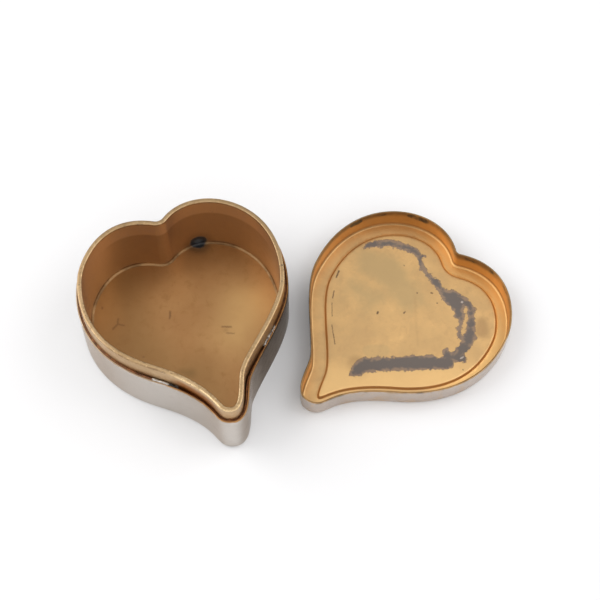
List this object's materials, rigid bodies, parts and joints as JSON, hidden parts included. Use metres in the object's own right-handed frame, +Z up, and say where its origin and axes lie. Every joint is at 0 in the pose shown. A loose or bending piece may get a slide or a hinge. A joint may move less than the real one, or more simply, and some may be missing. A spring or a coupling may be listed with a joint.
{
  "type": "heart-shaped trinket box with a lift-off lid",
  "caption": "Small heart-shaped metal trinket box, open, with a raised inner collar and its lift-off lid lying inside up beside it.",
  "frame": {"origin": "middle of the whole set's footprint, on the table it stands on", "axes": "+X runs from the box to the lid, to the viewer's right; +Y runs away from the viewer, from the hearts' tails to their lobes; +Z up"},
  "size_m": [0.1346, 0.0784, 0.0265],
  "materials": {
    "plated_sheet": "polished plating over thin brass sheet, lacquered gold inside, worn",
    "collar_brass": "satin gilt brass, tarnished, with small pits",
    "gilt_sheet": "gilt sheet inside and silver plating outside, with a dark ragged stain",
    "enamel": "glossy vitreous enamel, one plain colour"
  },
  "bodies": {
    "root": {"box_shell": "plated_sheet", "collar_band": "collar_brass", "lid_shell": "gilt_sheet", "lid_enamel": "enamel"}
  },
  "joints": []
}
